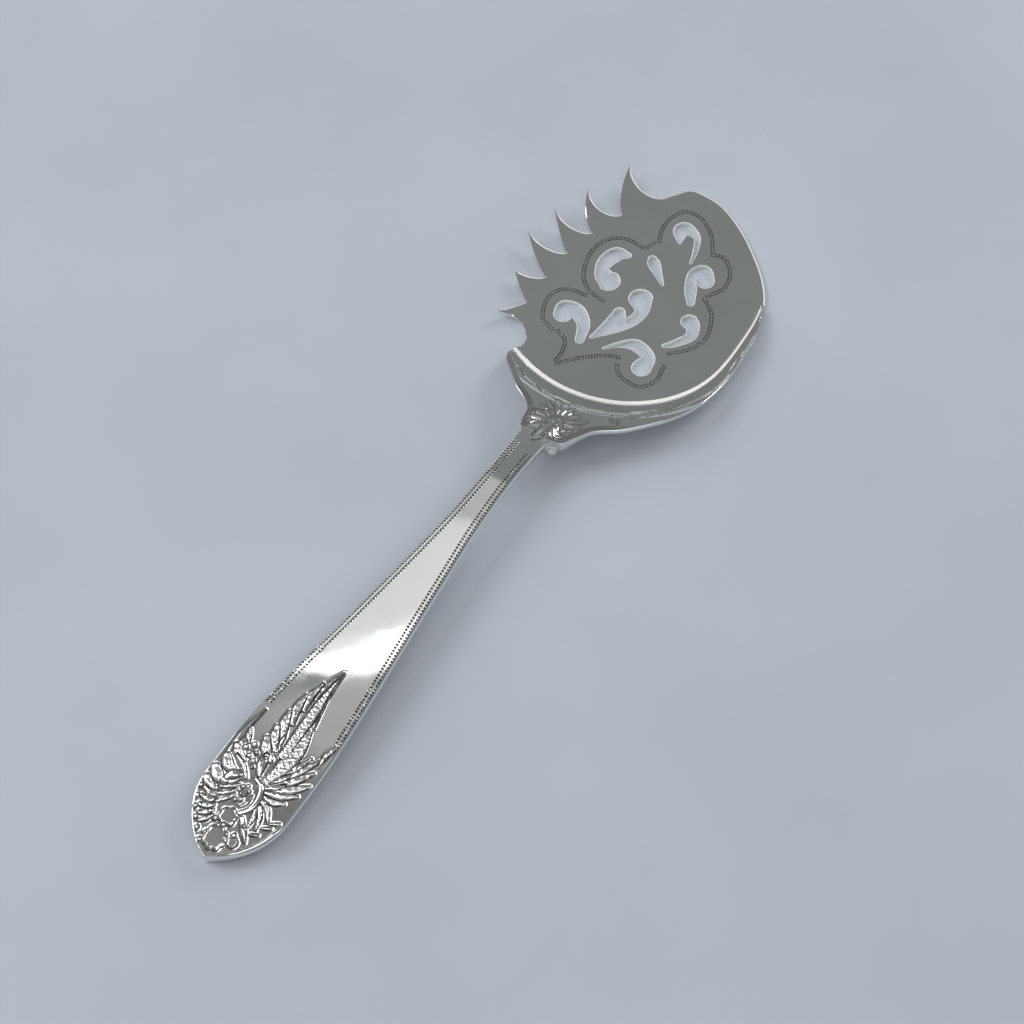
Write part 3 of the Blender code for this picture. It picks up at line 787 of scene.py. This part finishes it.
def handle_rings():
    """Tip, axis, direction to the toothed side, and the CAD rings' places, half-widths, tops and depths."""
    pts = np.array([v.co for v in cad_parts["handle"].data.vertices]) / MM
    pts[:, :2] -= PLAN_SHIFT
    axis = np.array((math.cos(HANDLE_TURN), math.sin(HANDLE_TURN)))
    side = np.array((-axis[1], axis[0]))
    along = pts[:, :2] @ axis
    out = pts[:, :2] @ side
    ordered = np.sort(along)
    starts = np.append(ordered[0], ordered[1:][np.diff(ordered) > RING_SPREAD])
    rows = []
    for place in starts:
        ring = (along >= place) & (along < place + RING_SPREAD)
        if len(np.unique(np.round(pts[ring], 3), axis=0)) >= RING_POINTS:
            z = pts[ring, 2]
            low = out[ring].min()
            high = out[ring].max()
            rows.append((place, (high - low) / 2, z.max(), np.ptp(z), (high + low) / 2))
    rows = np.array(rows)
    tip = axis * rows[0, 0] + side * rows[0, 4]
    rows[:, 0] -= rows[0, 0]
    return tip, axis, side, rows[:, :4].T


def border_relief(along, out, edge):
    """Punched dots, rim line and rounded shoulder along both edges of the handle's face."""
    relief = -SHOULDER_DROP * np.maximum(1 - edge / SHOULDER_BEVEL, 0) ** 2
    recess = np.zeros(len(along))
    for toothed_side, (start, stop) in ((False, DOTS_RIGHT), (True, DOTS_LEFT)):
        here = ((out > 0) == toothed_side) & (along > start - DOT_PITCH) & (along < stop + DOT_PITCH)
        nearest = np.clip(np.round((along - start) / DOT_PITCH), 0, round((stop - start) / DOT_PITCH))
        past_dot = along - start - nearest * DOT_PITCH
        for row in DOT_ROWS:
            reach = (past_dot ** 4 + (edge - row) ** 4) / DOT_RADIUS ** 4
            pit = np.where(here, np.clip(DOT_STEEPNESS * (1 - reach), 0, 1), 0)
            relief -= DOT_DEPTH * pit
            recess = np.maximum(recess, pit)
    rim = (out < 0) * np.clip((RIM_LINE_END - along) / RIM_LINE_FADE, 0, 1)
    relief += rim * RIM_LINE_HEIGHT * np.maximum(1 - ((edge - RIM_LINE_AT) / RIM_LINE_HALF_WIDTH) ** 2, 0)
    # Dark line in colour only beside the rim line, with no groove cut.
    recess = np.maximum(recess, rim * np.exp(-((edge - RIM_DARK_LINE_AT) / RIM_DARK_LINE_HALF_WIDTH) ** 2))
    return relief, recess


def face_row(along, half_width):
    """Places across the face at one row: fine borders, and a fine field where the foliage is."""
    columns = FIELD_COLUMNS if along < FOLIAGE_END else PLAIN_COLUMNS
    border = np.linspace(0, BORDER, BORDER_COLUMNS) * min(1, half_width / NARROW_HALF_WIDTH)
    middle = np.linspace(-1, 1, columns + 1)[1:-1] * (half_width - border[-1])
    across = np.concatenate((-half_width + border, middle, (half_width - border)[::-1]))
    return np.column_stack((np.full(len(across), along), across, half_width - np.abs(across)))


def back_profile():
    """Share of width and depth from the toothed edge round the back to the other edge."""
    half = np.array(BACK_SECTION)
    whole = np.vstack((half, half[::-1] * (-1, 1)))
    line, _ = smooth_path(whole, BACK_STEP)
    return line[1:-1]


def face_ornament(faces, plan):
    """Relief, recess and matte of the handle's face: borders, foliage, and strokes on the stem."""
    relief, recess = border_relief(*faces.T)
    matte = np.zeros(len(faces))
    foliage = faces[:, 0] < FOLIAGE_END
    along, _, edge = faces[foliage].T
    height, groove, frost = chasing(faces[foliage][:, :2], FOLIAGE)
    inner = np.clip((edge - FOLIAGE_MARGIN) / FOLIAGE_FADE, 0, 1)
    relief[foliage] += inner * (LEAF_HEIGHT * height - LEAF_GROOVE * groove)
    # The foliage's ground and grooves are darkened in colour: partly tarnish, partly painted shade.
    near_end = np.clip((GROUND_END[1] - along) / (GROUND_END[1] - GROUND_END[0]), 0, 1)
    ground = GROUND_TARNISH_AND_SHADE * near_end * np.clip(1 - GROUND_FALL * height, 0, 1)
    tarnish_and_shade = inner * np.maximum(ground, np.clip(GROOVE_TARNISH_AND_SHADE * groove - GROOVE_DARK_THRESHOLD, 0, 1))
    recess[foliage] = np.maximum(recess[foliage], tarnish_and_shade)
    matte[foliage] = inner * frost
    stem = faces[:, 0] > ENGRAVED_STEM
    strokes = engraved(plan[stem])
    relief[stem] -= STROKE_DEPTH * strokes
    recess[stem] = np.maximum(recess[stem], STROKE_TARNISH * strokes)
    return relief, recess, matte


def join_fine_to_plain(body, fine, coarse):
    """Faces from the last ring of the fine field to the first ring of the plain one."""
    border = BORDER_COLUMNS - 1
    shared = border + FIELD_COLUMNS // PLAIN_COLUMNS * np.arange(PLAIN_COLUMNS + 1)
    keep = np.concatenate((np.arange(border), shared, np.arange(shared[-1] + 1, len(fine))))
    for k in range(len(keep)):
        n = (k + 1) % len(keep)
        stretch = fine[keep[k]:keep[n] + 1] if n else fine[[keep[k], keep[0]]]
        body.faces.append((coarse[k], coarse[n], *stretch[::-1]))


def make_handle(material):
    """The handle from its tip to the butt at the neck, with an ornamented face and a rounded back."""
    body = Body()
    tip, axis, side, (places, half_widths, tops, depths) = handle_rings()
    rows = np.concatenate((np.arange(0, FOLIAGE_END, FOLIAGE_STEP),
                           np.arange(FOLIAGE_END, places[-1] - 0.5 * ROW_STEP, ROW_STEP), places[-1:]))
    half_width, top, depth = [smooth_graph(places, values, rows) for values in (half_widths, tops, depths)]
    face_rows = [face_row(along, half) for along, half in zip(rows, half_width)]
    faces = np.vstack(face_rows)
    relief, recess, matte = face_ornament(faces, tip + axis * faces[:, :1] + side * faces[:, 1:2])
    back = back_profile()
    smooth = np.zeros(len(back))
    rings = []
    start = 0
    for face, half, high, deep in zip(face_rows, half_width, top, depth):
        here = slice(start, start + len(face))
        over = np.column_stack((face[:, 1], high + relief[here]))
        below = high - SHOULDER_DROP - back[:, 1] * (deep - SHOULDER_DROP)
        under = np.column_stack((back[:, 0] * half, below))
        section = np.vstack((over, under))
        at = tip + axis * face[0, 0] + side * section[:, :1]
        points = np.column_stack((at, section[:, 1]))
        rings.append(body.add(points, np.append(recess[here], smooth), np.append(matte[here], smooth)))
        start += len(face)
    for ring, following in zip(rings, rings[1:]):
        if len(ring) == len(following):
            body.band(following, ring)
        else:
            join_fine_to_plain(body, ring, following)
    body.faces.append(tuple(rings[0]))
    body.faces.append(tuple(rings[-1][::-1]))
    body.piece("handle_chased", ("handle",), "polished_silver", material)


# Tongue
TONGUE_EASE = 0.2
TONGUE_LEAD = 0.04


def make_tongue(material):
    """The stem's tongue below the shoulder, its arrises eased."""
    bm = bmesh.new()
    bm.from_mesh(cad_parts["handle"].data)
    bmesh.ops.remove_doubles(bm, verts=bm.verts, dist=WELD * MM)
    start = (STEM_BUTT_X + PLAN_SHIFT[0] - TONGUE_LEAD) * MM
    bmesh.ops.delete(bm, geom=[v for v in bm.verts if v.co.x < start], context="VERTS")
    bmesh.ops.holes_fill(bm, edges=[e for e in bm.edges if e.is_boundary], sides=0)
    bmesh.ops.recalc_face_normals(bm, faces=bm.faces)
    mesh = bpy.data.meshes.new("handle_tongue")
    bm.to_mesh(mesh)
    bm.free()
    mesh.shade_smooth()
    for label in ("recess", "edge"):
        mesh.attributes.new(label, "FLOAT", "POINT")
    mesh.materials.append(material)
    made = new_object("handle_tongue", mesh)
    eased = made.modifiers.new("eased", "BEVEL")
    eased.width = TONGUE_EASE * MM
    eased.segments = 3
    eased.harden_normals = True
    eased.limit_method = "ANGLE"
    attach(made, "root")
    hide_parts("handle")


# Solder: the bead's half-width varies along the crease, and the neck's seam is filed flush.
BEAD_PLACES = (CREASE_ENDS[0], 165.0, 235.0, 255.0, CREASE_ENDS[1])
BEAD_HALF_WIDTHS = (0.36, 0.56, 0.58, 0.36, 0.2)
BEAD_CROWN = 0.5
BEAD_REACH = 0.62
BEAD_COLUMNS = 25
BEAD_ROWS = 260
BEAD_SINK = 0.02
BEAD_WALL_LEAD = 0.1
BEAD_WALL_SINK = 0.03
NECK_ROWS = 13
NECK_COLUMNS = 49
NECK_OVERLAP = 0.05
NECK_SINK = 0.01
NECK_TOP_INSET = 0.2
NECK_FOOT_SHARE = 0.8
NECK_FOOT_BEVEL = 0.8
NECK_EDGE_INSET = 0.04
NECK_EDGE_HEIGHTS = (6.6, 6.9)


def make_crease_seam(material):
    """Pale bead along the crease, burnished where it runs out to the plate and the wall; its pale colour is
    partly the solder's own and partly a painted highlight.
    """
    body = Body()
    across = np.linspace(-BEAD_REACH, BEAD_REACH, BEAD_COLUMNS)
    up_wall = wall_height(across + BEAD_WALL_LEAD) - PLATE_THICKNESS - BEAD_WALL_SINK
    level = PLATE_THICKNESS - BEAD_SINK + np.maximum(up_wall, 0)
    bottom = np.column_stack((across[[-1, 0]], (SEAM_FOOT, SEAM_FOOT)))
    rings = []
    for degrees in np.linspace(*CREASE_ENDS, BEAD_ROWS):
        half = np.interp(degrees, BEAD_PLACES, BEAD_HALF_WIDTHS)
        crown = BEAD_CROWN * half * np.maximum(1 - (across / half) ** 2, 0)
        section = np.vstack((np.column_stack((across, level + crown)), bottom))
        radius = crease_radius(degrees) + section[:, 0]
        turn = math.radians(degrees)
        rough = np.append(np.clip(4 - 4 * np.abs(across) / half, 0, 1), (0, 0))
        points = np.column_stack((radius * math.cos(turn), radius * math.sin(turn), section[:, 1]))
        rings.append(body.add(points, 0.0, rough))
    body.tube(rings)
    body.piece("crease_seam_bead", ("crease_solder_seam",), "silver_solder", material)


def make_neck_seam(material):
    """Solder that fills the joint between stem and shoulder, filed flush, with the engraving run over it."""
    body = Body()
    rings = []
    for t in np.linspace(0, 1, NECK_ROWS):
        x = STEM_BUTT_X - NECK_OVERLAP + (NECK_X - STEM_BUTT_X + 2 * NECK_OVERLAP) * t
        half = np.interp(t, (0, 1), NECK_HALF_WIDTHS)
        foot = np.interp(t, (0, 1), NECK_FEET)
        y = np.linspace(NECK_TOP_INSET - half, half - NECK_TOP_INSET, NECK_COLUMNS)[::-1]
        depth = engraved(np.column_stack((np.full(len(y), x), NECK_SEAM_MIDDLE[1] + y)))
        top = np.column_stack((y, SHOULDER_HEIGHT - NECK_SINK - STROKE_DEPTH * depth))
        flank = np.array(((NECK_FOOT_SHARE * half, foot), (half, foot + NECK_FOOT_BEVEL),
                          (half, NECK_EDGE_HEIGHTS[0]), (half - NECK_EDGE_INSET, NECK_EDGE_HEIGHTS[1])))
        other = flank[::-1] * (-1, 1)
        section = np.vstack((other[-1:], flank, top, other[:-1]))
        recess = np.zeros(len(section))
        recess[len(flank) + 1:1 - len(other)] = STROKE_TARNISH * depth
        across, height = section.T
        points = np.column_stack((np.full(len(section), x), NECK_SEAM_MIDDLE[1] + across, height))
        rings.append(body.add(points, recess))
    body.tube(rings)
    body.piece("neck_seam_flush", ("neck_solder_seam",), "silver_solder", material)


# Materials
CLEAN = (0.885, 0.90, 0.89, 1.0)
WARM = (0.85, 0.85, 0.82, 1.0)
FILM = (0.70, 0.70, 0.67, 1.0)
# Paler than the silver: partly the solder's own colour, partly a painted highlight that makes the crease
# bead a bright line.
PALE_SOLDER_AND_HIGHLIGHT = (0.96, 0.96, 0.95, 1.0)
DULL = (0.62, 0.63, 0.62, 1.0)
# Dark colour of the recesses: tarnish, and in the handle's foliage partly painted shade.
TARNISH_AND_SHADE = (0.04, 0.039, 0.036, 1.0)
PAPER_DARK = (0.44, 0.467, 0.525, 1.0)
PAPER_LIGHT = (0.477, 0.506, 0.568, 1.0)


class Nodes:
    """Short calls for making and wiring shader nodes."""
    COLOUR_SOCKETS = (6, 7)
    COLOUR_RESULT = 2

    def __init__(self, tree):
        self.tree = tree

    def make(self, kind, **settings):
        node = self.tree.nodes.new(kind)
        for name, value in settings.items():
            setattr(node, name, value)
        return node

    def wire(self, source, target):
        self.tree.links.new(source, target)

    def noise(self, place, scale, detail, stretch=(1, 1, 1)):
        """Noise at a scale per metre, finer where it is stretched."""
        mapping = self.make("ShaderNodeMapping")
        mapping.inputs["Scale"].default_value = stretch
        self.wire(place, mapping.inputs["Vector"])
        noise = self.make("ShaderNodeTexNoise")
        noise.inputs["Scale"].default_value = scale
        noise.inputs["Detail"].default_value = detail
        self.wire(mapping.outputs["Vector"], noise.inputs["Vector"])
        return noise.outputs["Fac"]

    def range(self, value, low, high, to_low, to_high):
        """A value moved from one range to another."""
        node = self.make("ShaderNodeMapRange")
        for name, number in zip(("From Min", "From Max", "To Min", "To Max"), (low, high, to_low, to_high)):
            node.inputs[name].default_value = number
        self.wire(value, node.inputs["Value"])
        return node.outputs["Result"]

    def math(self, operation, a, b):
        """The result of an operation on two values, each a socket or a number."""
        node = self.make("ShaderNodeMath", operation=operation)
        for socket, value in zip(node.inputs, (a, b)):
            if isinstance(value, (int, float)):
                socket.default_value = value
            else:
                self.wire(value, socket)
        return node.outputs["Value"]

    def mix(self, factor, a, b):
        """A mix of two colours, each a socket or a constant."""
        node = self.make("ShaderNodeMix", data_type="RGBA")
        self.wire(factor, node.inputs["Factor"])
        for number, value in zip(self.COLOUR_SOCKETS, (a, b)):
            socket = node.inputs[number]
            if isinstance(value, tuple):
                socket.default_value = value
            else:
                self.wire(value, socket)
        return node.outputs[self.COLOUR_RESULT]

    def bump(self, height, distance, strength, normal=None):
        """A normal tilted by a height, over another normal if one is given."""
        node = self.make("ShaderNodeBump")
        node.inputs["Distance"].default_value = distance
        node.inputs["Strength"].default_value = strength
        self.wire(height, node.inputs["Height"])
        if normal is not None:
            self.wire(normal, node.inputs["Normal"])
        return node.outputs["Normal"]


def new_material(name):
    """A new material, short calls for its nodes, and its shader."""
    material = bpy.data.materials.new(name)
    material.use_nodes = True
    return material, Nodes(material.node_tree), material.node_tree.nodes["Principled BSDF"]


def silver(name, clean, roughness, edge_roughness, wave):
    """Polished silver: dark in its recesses, filed edges, fine scratches and a hand-finished wave."""
    material, n, shader = new_material(name)
    shader.inputs["Metallic"].default_value = 1.0
    place = n.make("ShaderNodeTexCoord").outputs["Object"]
    recess = n.make("ShaderNodeAttribute", attribute_name="recess").outputs["Fac"]
    edge = n.make("ShaderNodeAttribute", attribute_name="edge").outputs["Fac"]
    cloud = n.noise(place, 140, 4)
    spots = n.noise(place, 900, 3)
    lines = n.noise(place, 500, 3, (1, 14, 1))
    crossed = n.noise(place, 420, 3, (16, 1, 1))
    hair = n.math("MAXIMUM", lines, crossed)
    warmth = n.mix(n.range(cloud, 0.4, 0.75, 0, 0.55), clean, WARM)
    film = n.mix(n.range(n.noise(place, 45, 3), 0.45, 0.75, 0, 0.35), warmth, FILM)
    # Recesses darken towards the dark colour: tarnish in the hollows, and in the handle's foliage partly
    # painted shade.
    dark = n.math("MULTIPLY", recess, n.range(spots, 0.25, 0.6, 0.75, 1.0))
    n.wire(n.mix(dark, film, TARNISH_AND_SHADE), shader.inputs["Base Color"])
    worn = n.range(cloud, 0.35, 0.7, roughness * 0.75, roughness * 1.5)
    scuffed = n.math("ADD", worn, n.range(hair, 0.62, 0.8, 0, 0.05))
    filed = n.math("ADD", scuffed, n.math("MULTIPLY", edge, edge_roughness))
    n.wire(n.math("ADD", filed, n.math("MULTIPLY", recess, 0.3)), shader.inputs["Roughness"])
    swell = n.bump(n.noise(place, 260, 1), wave * MM, 1.0)
    n.wire(n.bump(hair, 0.0008 * MM, 0.6, swell), shader.inputs["Normal"])
    return material


def paper():
    """Pale blue-grey paper with faint clouding."""
    material, n, shader = new_material("pale_paper")
    place = n.make("ShaderNodeTexCoord").outputs["Object"]
    cloud = n.noise(place, 18, 5)
    fibre = n.noise(place, 400, 3)
    n.wire(n.mix(n.range(cloud, 0.3, 0.7, 0, 1), PAPER_DARK, PAPER_LIGHT), shader.inputs["Base Color"])
    shader.inputs["Roughness"].default_value = 0.75
    shader.inputs["Specular IOR Level"].default_value = 0.25
    texture = n.math("ADD", cloud, n.math("MULTIPLY", fibre, 0.02))
    n.wire(n.bump(texture, 1.2 * MM, 0.5), shader.inputs["Normal"])
    return material


# Stage, lamps and camera. Lamps and floor are in metres, and a turn is to the right of straight ahead.
VIEW_AZIMUTH = -55.3
VIEW_ELEVATION = 58.5
VIEW_ROLL = -1.0
VIEW_DISTANCE = 540.0
VIEW_TARGET = (3.26, -6.43)
SENSOR = 36.0
FOCAL_PIXELS = 3000.0
FRAME_PIXELS = 1024
FLOOR_SIZE = 6.0
LAMPS = (
    # name, turn, elevation, distance, width, height, radiance
    ("key", -75.0, 48.0, 1.2, 0.66, 0.53, 3.4),
    ("back_left", -62.0, 31.0, 0.85, 0.42, 0.34, 2.4),
    ("back_right", 52.0, 28.0, 0.95, 0.46, 0.38, 5.0),
    ("overhead_left", -140.0, 68.0, 0.95, 0.4, 0.4, 2.0),
    ("fill", 165.0, 50.0, 1.0, 0.9, 0.5, 1.15),
    ("handle_glow", -8.0, 61.6, 0.75, 0.17, 0.11, 0.2),
    ("handle_card", -12.0, 64.2, 0.75, 0.15, 0.037, 0.2),
    ("handle_strip", -18.0, 65.75, 0.75, 0.2, 0.011, 1.4),
    ("leaf_glow", -31.0, 68.9, 0.75, 0.15, 0.05, 0.16),
)
WORLD = (0.212, 0.224, 0.224, 1.0)


def ahead_frame():
    """Unit vectors to the right of the camera and straight ahead of it, along the table."""
    turn = math.radians(VIEW_AZIMUTH)
    return Vector((math.cos(turn), math.sin(turn), 0)), Vector((-math.sin(turn), math.cos(turn), 0))


def make_camera():
    """The camera at the photo's angle."""
    right, ahead = ahead_frame()
    lift = math.radians(VIEW_ELEVATION)
    back = -ahead * math.cos(lift) + Vector((0, 0, math.sin(lift)))
    up = back.cross(right)
    roll = math.radians(VIEW_ROLL)
    x_axis = right * math.cos(roll) + up * math.sin(roll)
    y_axis = up * math.cos(roll) - right * math.sin(roll)
    data = bpy.data.cameras.new("camera")
    data.sensor_width = SENSOR
    data.lens = SENSOR * FOCAL_PIXELS / FRAME_PIXELS
    camera = new_object("camera", data)
    place = Vector((*VIEW_TARGET, 0)) * MM + back * VIEW_DISTANCE * MM
    camera.matrix_world = Matrix.Translation(place) @ Matrix((x_axis, y_axis, back)).transposed().to_4x4()
    bpy.context.scene.camera = camera


def make_lamps():
    """Soft lamps round the table, all turned to the server."""
    right, ahead = ahead_frame()
    target = Vector((*VIEW_TARGET, 0)) * MM
    for name, turn, elevation, distance, width, height, radiance in LAMPS:
        a = math.radians(turn)
        e = math.radians(elevation)
        level = ahead * math.cos(a) + right * math.sin(a)
        way = level * math.cos(e) + Vector((0, 0, math.sin(e)))
        data = bpy.data.lights.new(name, "AREA")
        data.shape = "RECTANGLE"
        data.size = width
        data.size_y = height
        data.energy = 4 * radiance * width * height
        lamp = new_object(name, data)
        across = Vector((0, 0, 1)).cross(way).normalized()
        turned = Matrix((across, way.cross(across), way)).transposed().to_4x4()
        lamp.matrix_world = Matrix.Translation(target + way * distance) @ turned


def make_world():
    """An even grey room."""
    world = bpy.data.worlds.new("studio")
    bpy.context.scene.world = world
    world.use_nodes = True
    world.node_tree.nodes["Background"].inputs["Color"].default_value = WORLD


def make_floor():
    """A plain sheet of paper below the server."""
    mesh = bpy.data.meshes.new("floor")
    half = FLOOR_SIZE / 2
    corners = [(half * x, half * y, 0) for x, y in CORNERS]
    mesh.from_pydata(corners, [], [(0, 1, 2, 3)])
    mesh.materials.append(paper())
    floor = new_object("floor", mesh)


make_camera()
polished = silver("polished_silver", CLEAN, roughness=0.06, edge_roughness=0.6, wave=0.010)
chased = silver("chased_silver", CLEAN, roughness=0.045, edge_roughness=0.3, wave=0.004)
dressed = silver("dressed_silver", DULL, roughness=0.4, edge_roughness=0.0, wave=0.004)
solder = silver("silver_solder", PALE_SOLDER_AND_HIGHLIGHT, roughness=0.07, edge_roughness=0.85, wave=0.004)

make_plate(polished)
make_wall(chased)
make_handle(chased)
make_tongue(dressed)
make_crease_seam(solder)
make_neck_seam(chased)
make_floor()
make_lamps()
make_world()
bpy.context.scene.view_settings.view_transform = "Standard"
